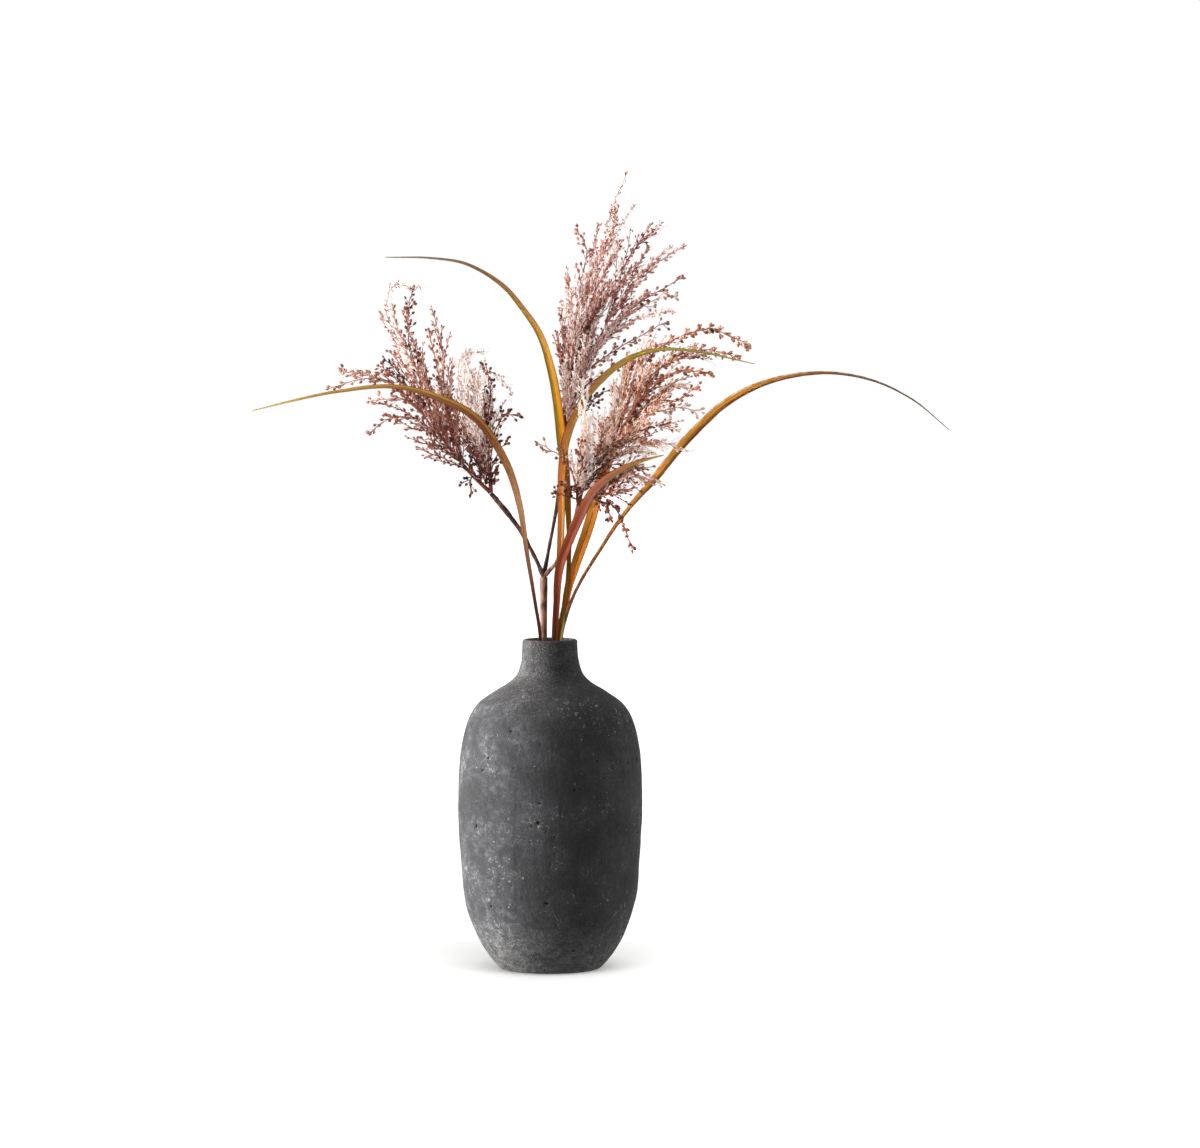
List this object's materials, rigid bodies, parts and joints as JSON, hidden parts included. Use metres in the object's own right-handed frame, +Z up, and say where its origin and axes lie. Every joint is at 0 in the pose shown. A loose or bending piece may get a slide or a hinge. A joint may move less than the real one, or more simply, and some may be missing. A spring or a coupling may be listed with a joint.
{
  "type": "vase of dried grass stems",
  "caption": "Tall narrow-necked vase in matt black cement holding a forked stem of dried seed plumes among long arching grass blades.",
  "frame": {"origin": "centre of the vase's flat foot, on the surface it stands on", "axes": "+Z up along the vase's axis, +X to the right as the picture shows it, -Y towards the viewer"},
  "size_m": [0.5364, 0.158, 0.6162],
  "materials": {
    "cement": "matt cast cement, stained black, with small pits and chalky patches",
    "bark": "dry twig bark, satin",
    "plume": "dry seeds and fibres, matt",
    "amber_blade": "dry leaf, satin with fine lengthwise ribs",
    "olive_blade": "dry leaf, satin with fine lengthwise ribs",
    "red_blade": "dry leaf, satin with fine lengthwise ribs"
  },
  "bodies": {
    "root": {"vase": "cement", "main_stem": "bark", "left_branch": "bark", "upper_branch": "bark", "right_branch": "bark", "left_plume_outer_fork": "plume", "left_plume_inner_fork": "plume", "upper_plume_left_fork": "plume", "upper_plume_right_fork": "plume", "right_plume_main_fork": "plume", "right_plume_left_fork": "plume", "right_plume_low_fork": "plume", "left_blade": "olive_blade", "tall_left_blade": "amber_blade", "arching_right_blade": "olive_blade", "front_red_blade": "red_blade", "long_right_blade": "amber_blade", "upright_back_blade": "amber_blade"}
  },
  "joints": []
}
